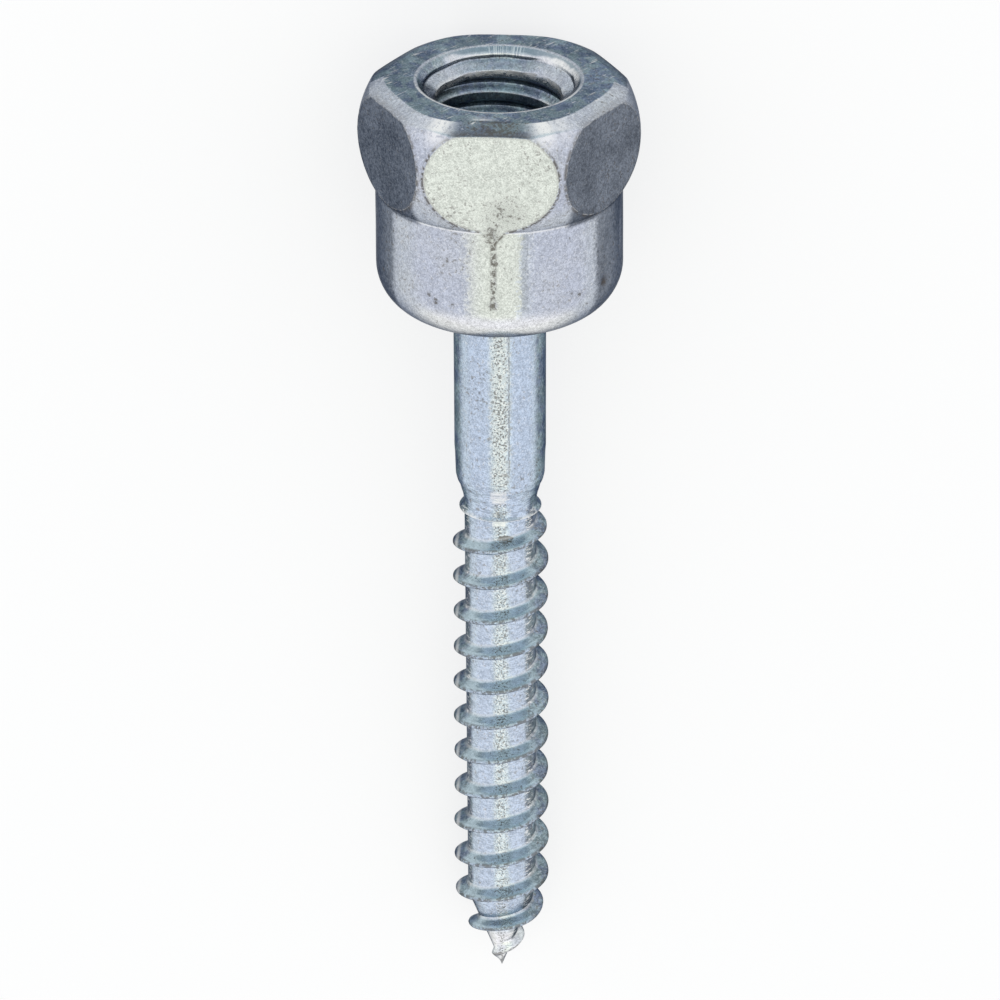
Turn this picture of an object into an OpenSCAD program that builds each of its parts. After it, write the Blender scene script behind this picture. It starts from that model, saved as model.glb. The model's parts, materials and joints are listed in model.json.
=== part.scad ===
// Threaded rod anchor: a one-piece forged steel fastener. A hexagonal head with rounded
// corners and a plain round skirt has a threaded socket for a hanging rod in its top face.
// Below it a plain shank leads into a coarse timber thread with a sharp point.
//
// Depths are measured along the axis from the head's top face towards the point.
// The part lies on its side as it comes to rest: the point is low, and one flat faces
// almost straight up, turned a little to one side because the round skirt can roll.

/* [Head] */
// Width of the hexagon across its flats
hex_af = 15.88; // [14:0.02:20]
// How much the corners of the hexagon are rounded back from a sharp corner
corner_cut = 0.14; // [0.05:0.01:0.5]
// Depth at which the rounded corners are widest
corner_peak = 3.6; // [2:0.1:5]
// Height of the hexagon part, from the top face to the shoulder
hex_h = 7.2; // [6:0.05:10]
// How far the skirt's side lies inside the flats, so that a driver passes over it
skirt_inset = 0.04; // [0:0.01:1]
// Height of the whole head
head_h = 15.5; // [13:0.1:20]
// Radius of the skirt's lower edge
skirt_edge = 3; // [1:0.1:3.5]
// Width of the sloping border around the top face, at the flats
border_w = 1.14; // [0.5:0.02:1.5]
// Slope of that border
border_slope = 27.5; // [15:0.5:45]
// How much the corners of the top face are rounded back
top_corner_cut = 0.45; // [0.1:0.05:0.8]

/* [Rod socket] */
// Inside diameter of the rod thread
socket_d = 8; // [6:0.05:9.6]
// Depth of the socket at its full diameter
socket_depth = 11.5; // [8:0.1:12.5]
// Angle of the socket's pointed bottom
socket_point = 118; // [110:1:170]
// Diameter of the countersunk mouth
mouth_d = 10.45; // [9.6:0.05:12]
// Angle of the countersink
mouth_angle = 90; // [60:1:120]

/* [Shank] */
// Diameter of the plain shank
shank_d = 5.95; // [5:0.05:7.2]
// Length of the plain shank, from the head to the start of its taper
shank_len = 12; // [8:0.1:20]
// Radius of the fillet under the head
head_fillet = 0.3; // [0.1:0.05:1]
// Length of the taper from the shank to the neck
taper_len = 1.8; // [1:0.1:4]
// How far the neck stands out past the thread's core, all round
neck_step = 0.07; // [0.05:0.01:0.4]
// Length of the neck, from the taper to its end face
neck_len = 0.7; // [0.5:0.05:3]
// How far the lip at the end of the neck stands out past the neck
lip_rise = 0.24; // [0.1:0.02:0.5]
// Radius of the lip's rounded rim
lip_edge = 0.25; // [0.15:0.05:0.4]

/* [Timber thread] */
// Diameter over the crests
thread_d = 6.25; // [5.4:0.05:7.5]
// Diameter of the core at the top of the thread
core_d = 4.64; // [3.8:0.02:5.2]
// How much thinner the core is where the point begins
core_taper = 0.24; // [0:0.02:0.6]
// Distance from one crest to the next
pitch = 2.54; // [2.2:0.02:3.4]
// Width of the thread at the core
thread_base = 1.25; // [0.8:0.05:1.6]
// Width of the crest
crest_w = 0.22; // [0.1:0.02:0.4]
// Length of thread and point together, below the end of the neck
thread_len = 33.8; // [26:0.25:45]
// Direction in which the thread begins, turned from a corner of the hexagon
start_angle = 80; // [0:5:355]
// Depth below the end of the neck at which the crest line begins
start_gap = 0.8; // [0.1:0.05:1]
// Length along the axis over which the thread rises to its full height
start_rise = 0.7; // [0.3:0.05:1.5]

/* [Point] */
// Length of the cone that the core ends in
point_len = 5.6; // [4:0.1:8]
// Length over which the crests close in on the point
crest_point_len = 6.5; // [5:0.1:9]

/* [Rest] */
// Turn about its own axis at rest, away from one flat facing straight up
lie_turn = -4; // [-15:0.5:15]

/* [Hidden] */

$fn = 96;
past = 1;                       // how far a cutting solid runs past what it cuts
far = 40;                       // larger than any width of the head
thread_sides = 24;              // flat steps around one turn of the thread

hex_sides = 6;
side_turn = 360 / hex_sides;    // from one flat to the next
flat_r = hex_af / 2;
corner_r = flat_r / cos(side_turn / 2) - corner_cut;
skirt_r = flat_r - skirt_inset;
// the rounded corners follow one arc, from the peak down to the skirt at the shoulder
bulge = corner_r - skirt_r;
corner_drop = hex_h - corner_peak;
corner_arc = (corner_drop * corner_drop + bulge * bulge) / (2 * bulge);
top_flat_r = flat_r - border_w;
top_corner_r = top_flat_r / cos(side_turn / 2) - top_corner_cut;
neck_r = core_d / 2 + neck_step;
edge_r = min(skirt_edge, skirt_r - shank_d / 2 - head_fillet, head_h - hex_h);

taper_at = head_h + shank_len;
neck_at = taper_at + taper_len;
neck_end = neck_at + neck_len;
core_top = neck_end - neck_len / 2;
tip_at = neck_end + thread_len;
cone_at = tip_at - point_len;
core_low_r = (core_d - core_taper) / 2;
thread_from = neck_end + start_gap;
turns = ceil((tip_at - thread_from) / pitch) + 4;  // with spare turns that close both ends
profile_at = [-thread_base / 2, -crest_w / 2, crest_w / 2, thread_base / 2];
profile_up = [0, 1, 1, 0];
rows = turns * len(profile_at);

// the tilt at rest: the floor touches the skirt's lower edge and one crest near the point
edge_at = head_h - edge_r;
floor_angle = 90 - lie_turn;
thread_step = 360 / thread_sides;
tilt = min([
    for (
        angle = [0 : thread_step : 360 - thread_step],
        j = [0 : turns - 1],
        side = [-1, 1]
    )
    let (crest = crest_at(j, angle) + side * crest_w / 2, off = abs(angle - floor_angle))
    if (off < thread_step && crest < tip_at) rest_tilt(crest, crest_r(crest) * cos(off))
]);
floor_drop = edge_r + (skirt_r - edge_r) * cos(tilt) + edge_at * sin(tilt);
// half the length that the lying part covers, to bring its middle over the origin
rim_end = acos(top_flat_r / top_corner_r);
reach_top = top_corner_r * cos(max(rim_end - abs(lie_turn), 0)) * sin(tilt);
reach_tip = tip_at * cos(tilt);
mid_shift = (reach_tip - reach_top) / 2;

function limit(x, low, high) = min(max(x, low), high);

// radius of the core at a depth
function core_r(depth) = depth > cone_at
    ? core_low_r * (tip_at - depth) / point_len
    : core_low_r + core_taper / 2 * (cone_at - depth) / (cone_at - core_top);

// radius of the crest line at a depth
function crest_r(depth) =
    thread_d / 2 * sin(90 * limit((tip_at - depth) / crest_point_len, 0, 1));

// depth of the crest line on turn j in the direction given by angle
function crest_at(j, angle) = thread_from + pitch * (j - 2 + (start_angle - angle) / 360);

// share of the full thread height that the crest line has at a depth
function rise(crest) = limit((crest - thread_from) / start_rise, 0, 1);

// tilt at which a crest of the given depth and radius and the skirt's edge touch one floor
function rest_tilt(depth, r) =
    let (along = depth - edge_at, across = r - (skirt_r - edge_r))
    asin(edge_r / sqrt(along * along + across * across)) - atan2(across, along);

// one point on the thread's surface: step i around, row k along
function thread_point(i, k) =
    let (
        angle = 360 * i / thread_sides,
        p = k % len(profile_at),
        crest = crest_at(floor(k / len(profile_at)), angle),
        depth = limit(crest + profile_at[p], core_top, tip_at),
        up = profile_up[p] * rise(crest),
        r = core_r(depth) + up * max(crest_r(depth) - core_r(depth), 0)
    )
    [r * cos(angle), r * sin(angle), -depth];

module corner_profile() {
    intersection() {
        translate([corner_r - corner_arc, -corner_peak]) circle(corner_arc);
        polygon([
            [0, -hex_h - far],
            [top_corner_r + far, -hex_h - far],
            [top_corner_r + far, -far * tan(border_slope)],
            [top_corner_r, 0],
            [0, 0]
        ]);
        translate([0, -hex_h]) square([far, hex_h]);
    }
}

module skirt_profile() {
    translate([0, -edge_at]) square([skirt_r, edge_at - corner_peak]);
    translate([0, -head_h]) square([skirt_r - edge_r, head_h - corner_peak]);
    translate([skirt_r - edge_r, -edge_at]) circle(edge_r);
}

module shank_profile() {
    polygon([
        [0, -neck_end],
        [neck_r, -neck_end],
        [neck_r, -neck_at],
        [shank_d / 2, -taper_at],
        [shank_d / 2, -corner_peak],
        [0, -corner_peak]
    ]);
    difference() {
        translate([shank_d / 2 - past / 2, -head_h - head_fillet])
            square([head_fillet + past / 2, head_fillet + past / 2]);
        translate([shank_d / 2 + head_fillet, -head_h - head_fillet]) circle(head_fillet);
    }
    translate([neck_r + lip_rise - lip_edge, -neck_end + lip_edge]) circle(lip_edge);
}

// everything turned about the axis, from the top face to the end of the neck
module turned_form() {
    rotate_extrude() {
        corner_profile();
        skirt_profile();
        shank_profile();
    }
}

// what is cut away beside each flat, and above the sloping border at its top
module flat_cuts() {
    for (i = [0 : hex_sides - 1]) rotate(side_turn * (i + 0.5)) {
        translate([flat_r, -far / 2, -hex_h]) cube([far, far, hex_h + past]);
        translate([top_flat_r, 0, 0]) rotate([0, border_slope, 0])
            translate([-past, -far / 2, 0]) cube([far, far, far]);
    }
}

module rod_socket() {
    mouth_r = mouth_d / 2;
    bore_r = socket_d / 2;
    sink = (mouth_r - bore_r) / tan(mouth_angle / 2);
    over = past / tan(mouth_angle / 2);
    rotate_extrude() polygon([
        [0, -socket_depth - bore_r / tan(socket_point / 2)],
        [bore_r, -socket_depth],
        [bore_r, -sink],
        [mouth_r + past, over],
        [0, over]
    ]);
}

// core, coarse thread and point as one helical surface
module timber_thread() {
    last = rows - 1;
    turn = len(profile_at);
    points = [for (k = [0 : last], i = [0 : thread_sides - 1]) thread_point(i, k)];
    quads = [
        for (k = [0 : last + turn - 1], i = [0 : thread_sides - 1])
        let (
            seam = i == thread_sides - 1 ? turn : 0,
            j = (i + 1) % thread_sides,
            a = i + thread_sides * min(k, last),
            b = j + thread_sides * limit(k - seam, 0, last),
            c = j + thread_sides * limit(k + 1 - seam, 0, last),
            d = i + thread_sides * min(k + 1, last)
        )
        [a, b, c, d]
    ];
    faces = [
        for (q = quads, t = [[q[0], q[1], q[2]], [q[0], q[2], q[3]]])
        let (p = points[t[0]], r = points[t[1]], s = points[t[2]])
        if (p != r && r != s && s != p) t
    ];
    cap = [for (i = [thread_sides - 1 : -1 : 0]) i];
    polyhedron(points, concat(faces, [cap]));
}

module rod_anchor() {
    color([0.68, 0.71, 0.76])
    translate([0, mid_shift, floor_drop])
    rotate([tilt - 90, 0, 0]) rotate(lie_turn)
    difference() {
        union() {
            difference() {
                turned_form();
                flat_cuts();
            }
            timber_thread();
        }
        rod_socket();
    }
}

rod_anchor();
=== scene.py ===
"""Threaded rod anchor: a zinc-plated screw with a hexagonal head that is tapped for a rod.

The anchor is modelled upright in millimetres, with its axis on Z, the head's top face at Z = 0
and the point below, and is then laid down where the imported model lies. Depths run down from
the top face. Turns are counted about the axis from one corner of the hexagon.
"""

import json
import math
from functools import reduce
from types import SimpleNamespace

import bpy
import numpy as np
from bpy.props import FloatProperty, FloatVectorProperty, PointerProperty
from bpy.types import Operator, Panel, PropertyGroup
from mathutils import Matrix, Vector


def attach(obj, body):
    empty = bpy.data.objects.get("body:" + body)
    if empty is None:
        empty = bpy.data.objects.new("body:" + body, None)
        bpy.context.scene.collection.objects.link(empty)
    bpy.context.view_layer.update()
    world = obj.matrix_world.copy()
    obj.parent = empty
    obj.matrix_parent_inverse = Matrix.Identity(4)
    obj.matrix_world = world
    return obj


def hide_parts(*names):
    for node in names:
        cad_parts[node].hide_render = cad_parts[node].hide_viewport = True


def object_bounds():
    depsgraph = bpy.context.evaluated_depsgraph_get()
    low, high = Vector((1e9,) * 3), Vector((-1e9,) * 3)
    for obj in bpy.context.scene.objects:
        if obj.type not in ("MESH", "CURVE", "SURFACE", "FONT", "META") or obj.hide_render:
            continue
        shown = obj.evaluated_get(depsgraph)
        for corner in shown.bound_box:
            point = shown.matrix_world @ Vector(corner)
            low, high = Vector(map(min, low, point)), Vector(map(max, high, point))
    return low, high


bl_info = {
    "name": "Threaded Rod Anchor",
    "version": (1, 0, 0),
    "blender": (4, 5, 0),
    "location": "View3D > Sidebar > Rod Anchor",
    "description": "Builds a zinc-plated rod anchor with real threads, and a plain studio for it",
    "category": "Add Mesh",
}

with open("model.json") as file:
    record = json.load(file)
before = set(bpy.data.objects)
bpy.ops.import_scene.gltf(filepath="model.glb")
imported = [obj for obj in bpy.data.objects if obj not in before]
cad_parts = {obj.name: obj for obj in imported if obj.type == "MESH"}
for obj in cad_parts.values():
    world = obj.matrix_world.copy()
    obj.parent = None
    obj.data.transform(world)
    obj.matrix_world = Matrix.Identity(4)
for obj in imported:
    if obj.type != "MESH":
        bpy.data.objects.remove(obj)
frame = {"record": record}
CAD_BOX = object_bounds()
MOUNTS = {mount["name"]: mount for mount in frame["record"]["mounts"]}

MM = 0.001
FULL_TURN = 2 * math.pi
SECTOR = FULL_TURN / 6  # from one flat of the hexagon to the next
FRONT_FLAT = 4  # flats are counted from the first corner; this one faces up
SHANK_COLUMNS = 144  # vertices around the shank, its thread and the socket
CLEAR = 0.006  # how far the mesh stays inside the solid that it stands for


def length(name, description, millimetres):
    """A size in metres whose default is given in millimetres."""
    return FloatProperty(
        name=name,
        description=description,
        default=millimetres * MM,
        min=0.0,
        precision=5,
        unit="LENGTH",
    )


def angle(name, description, degrees):
    """An angle whose default is given in degrees."""
    return FloatProperty(
        name=name, description=description, default=math.radians(degrees), unit="ROTATION"
    )


def amount(name, description, value):
    """A plain number that isn't negative."""
    return FloatProperty(name=name, description=description, default=value, min=0.0)


def colour(name, description, value):
    """A linear colour."""
    return FloatVectorProperty(
        name=name,
        description=description,
        default=value,
        size=3,
        min=0.0,
        soft_max=1.0,
        subtype="COLOR",
    )


class HeadSizes(PropertyGroup):
    """Sizes of the hexagonal head and its skirt."""

    hex_width: length("Across Flats", "Width of the hexagon across its flats", 15.88)
    corner_cut: length("Corner Rounding", "How far the corners are rounded back", 0.14)
    corner_peak: length("Corner Peak", "Depth at which the corners are widest", 3.6)
    shoulder: length("Shoulder", "Depth at which the hexagon ends", 7.2)
    height: length("Head Height", "Height of the whole head", 15.5)
    skirt_inset: length("Skirt Inset", "How far the skirt lies inside the flats", 0.04)
    skirt_edge: length("Skirt Edge", "Radius of the skirt's lower edge", 3.0)
    border: length("Top Border", "Width of the sloping border at the flats", 1.01)
    border_slope: angle("Border Slope", "Slope of that border", 27.5)
    top_cut: length("Top Corner Rounding", "How far the top's corners are rounded back", 0.72)
    crease: length("Crease Rounding", "How softly the flats run into the corners", 0.035)
    foot: length("Foot Notch", "How deep the front flat bites into the skirt", 0.03)


class SocketSizes(PropertyGroup):
    """Sizes of the tapped socket in the head."""

    bore: length("Bore", "Diameter over the rod thread's crests", 8.0)
    depth: length("Socket Depth", "Depth at full diameter", 11.5)
    point: angle("Drill Point", "Angle of the pointed bottom", 118)
    mouth: length("Mouth", "Diameter of the countersunk mouth", 10.45)
    pitch: length("Rod Thread Pitch", "Distance between the rod thread's crests", 1.5875)
    groove: length("Groove Depth", "Depth of the rod thread's groove", 0.8)
    thread_end: length("Thread End", "Depth at which the groove fades out", 10.2)


class ShankSizes(PropertyGroup):
    """Sizes of the plain shank and of the neck below it."""

    width: length("Shank Diameter", "Diameter of the plain shank", 5.95)
    span: length("Shank Length", "Length from the head to the taper", 12.0)
    fillet: length("Head Fillet", "Radius of the fillet under the head", 0.3)
    taper: length("Taper", "Length of the taper to the neck", 1.8)
    neck: length("Neck Length", "Length of the neck below the taper", 0.7)


class ThreadSizes(PropertyGroup):
    """Sizes of the timber thread and the point."""

    width: length("Crest Diameter", "Diameter over the crests", 6.25)
    core: length("Core Diameter", "Diameter of the core at the top of the thread", 4.64)
    core_taper: length("Core Taper", "How much thinner the core is at the point", 0.24)
    pitch: length("Pitch", "Distance from one crest to the next", 2.54)
    span: length("Thread Length", "Length of thread and point together", 33.8)
    start: angle("Start Direction", "Where the thread begins, from a corner", 80)
    start_gap: length("Start Gap", "Depth below the neck where the crest begins", 0.8)
    start_rise: length("Start Rise", "Length over which the thread rises", 0.7)
    point: length("Point", "Length of the cone that the core ends in", 5.6)
    crest_point: length("Crest Point", "Length over which the crests close in", 6.5)


class FinishSettings(PropertyGroup):
    """Colours of the zinc plating and of what has settled on it, and of the sheen, highlights and
    dark reflections painted on it.
    """

    plate: colour("Head Plate", "The head's plating where it is clean", (0.52, 0.56, 0.63))
    # painted sheen: the lamp's greenish reflection painted on the front flat and strips down the
    # skirt and shank, also in random patches over the head
    shank_plate: colour("Shank Plate", "The shank's bluer plating", (0.52, 0.615, 0.725))
    painted_sheen: colour("Frosted Plate", "The greenish bloom on the plating", (0.62, 0.645, 0.635))
    # painted dark reflection and shade: the slate tone painted on the side flats, the sides, the
    # border, the top face and inside the socket
    dull: colour("Dull Plate", "The slate tone of the thinly plated faces", (0.18, 0.2, 0.235))
    # painted dark reflection in teal, on the top face and in the countersink
    teal_reflection: colour("Machined Plate", "The teal tone of the cut faces", (0.27, 0.345, 0.38))
    # painted reflection: the grey-green tone painted on the thread's upper flanks
    flank: colour("Thread Flank", "The grey-green tone of the rolled flanks", (0.42, 0.53, 0.58))
    # real scratches and pale flecks, and also the colour of the painted highlights on edges, rims,
    # crests, the point and the strips
    bright_wear_and_highlight: colour("Rubbed Plate", "Bright scratches and rubbed edges", (0.86, 0.87, 0.86))
    # real grime, and also the painted dark reflection line beside the shank's highlight strip
    grime: colour("Grime", "Dried oil and dust in the pits and creases", (0.10, 0.085, 0.065))
    gloss: amount("Roughness", "Roughness of the plating where it is clean", 0.24)


class StudioSettings(PropertyGroup):
    """The floor, the lamp and the camera."""

    floor: colour("Floor", "Colour of the floor", (0.96, 0.96, 0.955))
    floor_glow: amount("Floor Whiteness", "Share of plain white seen in the floor", 0.7)
    room: colour("Room Light", "Colour of the room's own light", (0.98, 0.98, 1.04))
    shade: colour("Room End", "Colour of the room beyond the anchor's head", (0.6, 0.7, 0.76))
    room_level: amount("Room Level", "Strength of the room's own light", 0.98)
    lamp: colour("Lamp Colour", "Colour of the strip lamp overhead", (1.0, 1.1, 0.4))
    lamp_level: amount("Lamp Level", "Brightness of the strip lamp's face", 0.2)
    lamp_height: length("Lamp Height", "Height of the strip lamp over the floor", 1300.0)
    distance: length("Camera Distance", "Distance from the anchor's middle", 700.0)
    middle: length("Camera Target", "Depth of the point that the camera looks at", 32.0)
    rise: angle("Camera Rise", "Angle from square-on towards the head", 26.32)
    swing: angle("Camera Swing", "Angle about the axis from the front flat", 3.8)
    roll: angle("Camera Roll", "Roll of the camera", -0.202)


class AnchorSettings(PropertyGroup):
    """Everything that can be changed about the anchor and its studio."""

    head: PointerProperty(type=HeadSizes, name="Head", description="The hexagonal head")
    socket: PointerProperty(type=SocketSizes, name="Socket", description="The tapped socket")
    shank: PointerProperty(type=ShankSizes, name="Shank", description="The plain shank")
    thread: PointerProperty(type=ThreadSizes, name="Thread", description="The timber thread")
    finish: PointerProperty(type=FinishSettings, name="Finish", description="The plating")
    studio: PointerProperty(type=StudioSettings, name="Studio", description="Floor and lamps")


def own_properties(group):
    """The properties that the group itself adds."""
    return [p for p in group.bl_rna.properties if p.identifier not in ("rna_type", "name")]


def in_millimetres(group):
    """The group's values by name, with its lengths in millimetres."""
    values = {}
    for prop in own_properties(group):
        value = getattr(group, prop.identifier)
        values[prop.identifier] = value / MM if prop.unit == "LENGTH" else value
    return SimpleNamespace(**values)


# ---------------------------------------------------------------- shape of the anchor


def soft_min(a, b, width):
    """The smaller of a and b, with the edge between them rounded over a width."""
    share = np.clip(0.5 + 0.5 * (b - a) / width, 0, 1)
    return b + (a - b) * share - width * share * (1 - share)


def soft_max(a, b, width):
    """The larger of a and b, with the crease between them rounded over a width."""
    return -soft_min(-a, -b, width)


def ease(x, low, high):
    """0 at low, 1 at high, and an S curve between them."""
    t = np.clip((x - low) / (high - low), 0, 1)
    return t * t * (3 - 2 * t)


def fade(x, low, high):
    """1 at low, 0 at high, and an S curve between them."""
    return 1 - ease(x, low, high)


def bump(x, middle, width):
    """A rounded hump of height 1 about a middle."""
    return np.exp(-(((x - middle) / width) ** 2))


def turn_bump(turn, degrees, width):
    """A rounded hump about an angle. Its middle and width are in degrees."""
    return bump(turn, math.radians(degrees), math.radians(width))


HALVINGS = 40  # enough to find an edge's depth exactly
SKIRT_CREASE = 0.04  # how softly the hexagon runs into the skirt
BORDER_EDGE = 0.14  # how softly the sloping border runs into the side
FOOT_TOP, FOOT_LOW = 5.5, 9.5  # depths between which the front flat can bite
FOOT_RISE = 0.06  # how much less it bites above the shoulder
FOOT_SLOPE = 0.035  # how fast the bite runs out below the shoulder
FOOT_EDGE = 0.012  # how softly the bite is rounded


class HeadForm:
    """The head's outside: its width at any depth and turn."""

    def __init__(self, sizes):
        self.sizes = sizes
        self.flat = sizes.hex_width / 2
        self.corner = self.flat / math.cos(SECTOR / 2) - sizes.corner_cut
        self.skirt = self.flat - sizes.skirt_inset
        bulge = self.corner - self.skirt
        drop = sizes.shoulder - sizes.corner_peak
        self.arc = (drop**2 + bulge**2) / (2 * bulge)
        self.top_flat = self.flat - sizes.border
        self.top_corner = self.top_flat / math.cos(SECTOR / 2) - sizes.top_cut
        self.edge_from = sizes.height - sizes.skirt_edge

    def off_flat(self, turn):
        """Angle from the middle of the nearest flat."""
        return np.mod(turn, SECTOR) - SECTOR / 2

    def which_flat(self, turn):
        """Number of the nearest flat."""
        return np.floor_divide(turn, SECTOR).astype(int) % 6

    def barrel(self, depth):
        """Radius of the rounded corners."""
        across = np.clip(depth - self.sizes.corner_peak, -self.arc, self.arc)
        return self.corner - self.arc + np.sqrt(self.arc**2 - across**2)

    def flat_end(self, off):
        """Distance up and down from the corners' widest depth at which a flat ends."""
        reach = self.flat / np.cos(off) - (self.corner - self.arc)
        return np.sqrt(np.maximum(self.arc**2 - reach**2, 0))

    def top_outline(self, depth, off):
        """Radius of the sloping border at a depth, or of the top face at depth 0."""
        grow = depth / math.tan(self.sizes.border_slope)
        corner = np.sin(3 * off) ** 2  # 0 over a flat's middle, 1 over a corner
        return self.top_flat + (self.top_corner - self.top_flat) * corner + grow

    def side(self, depth, turn):
        """Radius of the flats, corners and skirt below the border."""
        off = self.off_flat(turn)
        hexagon = soft_min(self.barrel(depth), self.flat / np.cos(off), self.sizes.crease)
        radius = soft_max(hexagon, self.skirt, SKIRT_CREASE)
        # the front flat bites a little into the skirt below it
        front = self.which_flat(turn) == FRONT_FLAT
        shoulder = self.sizes.shoulder
        bite = self.skirt - self.sizes.foot + FOOT_RISE * ease(depth, shoulder, shoulder - 1)
        bite = bite + FOOT_SLOPE * np.maximum(depth - shoulder, 0)
        cut = soft_min(radius, bite / np.cos(off), FOOT_EDGE)
        return np.where(front & (depth > FOOT_TOP) & (depth < FOOT_LOW), cut, radius)

    def border_end(self, turn):
        """Depth at which the sloping border meets the side."""
        low = np.zeros_like(turn)
        high = np.full_like(turn, self.sizes.corner_peak)
        off = self.off_flat(turn)
        for _ in range(HALVINGS):
            middle = (low + high) / 2
            inside = self.top_outline(middle, off) < self.side(middle, turn)
            low = np.where(inside, middle, low)
            high = np.where(inside, high, middle)
        return low

    def outside(self, depth, turn):
        """Radius of the head at a depth, with every edge rounded."""
        border = self.top_outline(depth, self.off_flat(turn))
        return soft_min(self.side(depth, turn), border, BORDER_EDGE)

    def columns(self):
        """Turns of the head's vertices: even steps along a flat's outline, more where it bends."""
        span = self.flat_end(np.zeros(1))[0]
        rise = np.linspace(span, 0, 2000)
        barrel = self.barrel(self.sizes.corner_peak + rise)
        off = np.arccos(np.clip(self.flat / barrel, -1, 1))
        walk = np.hypot(np.diff(self.flat * np.tan(off)), np.diff(rise))
        walk = np.concatenate(([0], np.cumsum(walk)))
        on_flat = np.interp(np.linspace(0, walk[-1], 24), walk, off)
        middle = np.radians([0.4, 0.8, 1.3])
        corner = np.linspace(off[-1], SECTOR / 2, 5)[1:]
        half = np.unique(np.round(np.concatenate((on_flat, middle, corner)), 7))
        one = np.concatenate((-half[:0:-1], half))[:-1]
        turns = (one[None, :] + SECTOR / 2 + SECTOR * np.arange(6)[:, None]).ravel()
        return np.sort(np.mod(turns, FULL_TURN))


NO_FLAT = -9.0  # the edge mark, which is the distance in from a flat's outline, away from any flat


class Skin:
    """Collects rings of vertices, and the faces between them, into one closed surface."""

    def __init__(self):
        self.points = []
        # two of these marks carry painted dark reflections and shade, and painted highlights
        self.marks = {"dull": [], "edge": [], "ridge": [], "stain": [], "rub": []}
        self.faces = []
        self.count = 0

    def ring(self, turn, radius, depth, **marks):
        """Adds one ring with its marks, and returns its vertices' numbers."""
        radius = np.broadcast_to(radius, turn.shape)
        depth = np.broadcast_to(depth, turn.shape)
        points = np.stack((radius * np.cos(turn), radius * np.sin(turn), -depth), axis=-1)
        self.points.append(points)
        for name, values in self.marks.items():
            value = marks.get(name, NO_FLAT if name == "edge" else 0.0)
            values.append(np.broadcast_to(value, turn.shape))
        numbers = np.arange(self.count, self.count + len(turn))
        self.count += len(turn)
        return numbers

    def join(self, upper, lower):
        """Faces between two rings with the same columns."""
        a, b = upper, lower
        c, d = np.roll(lower, -1), np.roll(upper, -1)
        self.faces.append(np.stack((a, b, c), axis=-1))
        self.faces.append(np.stack((a, c, d), axis=-1))

    def chain(self, rings):
        """Faces between each ring and the next."""
        for upper, lower in zip(rings, rings[1:]):
            self.join(upper, lower)

    def bridge(self, upper, upper_turn, lower, lower_turn):
        """Faces between two rings whose columns differ."""
        a = b = 0
        faces = []
        ends_a = np.append(upper_turn[1:], FULL_TURN + upper_turn[0])
        ends_b = np.append(lower_turn[1:], FULL_TURN + lower_turn[0])
        while a < len(upper) or b < len(lower):
            here, there = upper[a % len(upper)], lower[b % len(lower)]
            if b == len(lower) or (a < len(upper) and ends_a[a] <= ends_b[b]):
                a += 1
                faces.append((here, there, upper[a % len(upper)]))
            else:
                b += 1
                faces.append((here, there, lower[b % len(lower)]))
        self.faces.append(np.array(faces))

    def helix(self, rows, per_turn):
        """Faces of a helical surface, whose last column meets its first one turn of rows later."""
        table = np.array(rows)
        last = len(table) - 1
        step = np.arange(last + per_turn)
        here, after = np.minimum(step, last), np.minimum(step + 1, last)
        for column in range(table.shape[1]):
            seam = per_turn if column == table.shape[1] - 1 else 0
            beside = (column + 1) % table.shape[1]
            a, d = table[here, column], table[after, column]
            b = table[np.clip(step - seam, 0, last), beside]
            c = table[np.clip(step + 1 - seam, 0, last), beside]
            self.faces.append(np.stack((a, d, c), axis=-1))
            self.faces.append(np.stack((a, c, b), axis=-1))

    def mesh(self, name, placed):
        """The closed surface as a mesh, in metres, with no doubled vertices or empty faces."""
        points = np.concatenate(self.points)
        _, first, number = np.unique(
            np.round(points, 5), axis=0, return_index=True, return_inverse=True
        )
        faces = number.ravel()[np.concatenate(self.faces)]
        a, b, c = faces.T
        faces = faces[(a != b) & (b != c) & (c != a)]
        used, faces = np.unique(faces, return_inverse=True)
        faces = faces.reshape(-1, 3)
        first = first[used]
        mesh = bpy.data.meshes.new(name)
        mesh.vertices.add(len(first))
        upright = points[first]
        matrix = np.array(placed)
        laid = upright * MM @ matrix[:3, :3].T + matrix[:3, 3]
        mesh.vertices.foreach_set("co", laid.astype(np.float32).ravel())
        mesh.loops.add(faces.size)
        mesh.loops.foreach_set("vertex_index", faces.ravel().astype(np.int32))
        mesh.polygons.add(len(faces))
        mesh.polygons.foreach_set("loop_start", np.arange(0, faces.size, 3, dtype=np.int32))
        for mark, values in self.marks.items():
            kept = mesh.attributes.new(mark, "FLOAT", "POINT")
            kept.data.foreach_set("value", np.concatenate(values)[first].astype(np.float32))
        kept = mesh.attributes.new("upright", "FLOAT_VECTOR", "POINT")
        kept.data.foreach_set("vector", upright.astype(np.float32).ravel())
        mesh.update(calc_edges=True)
        if mesh.validate():
            raise RuntimeError("the anchor's mesh has broken faces")
        mesh.polygons.foreach_set("use_smooth", np.ones(len(faces), dtype=bool))
        return mesh


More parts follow.
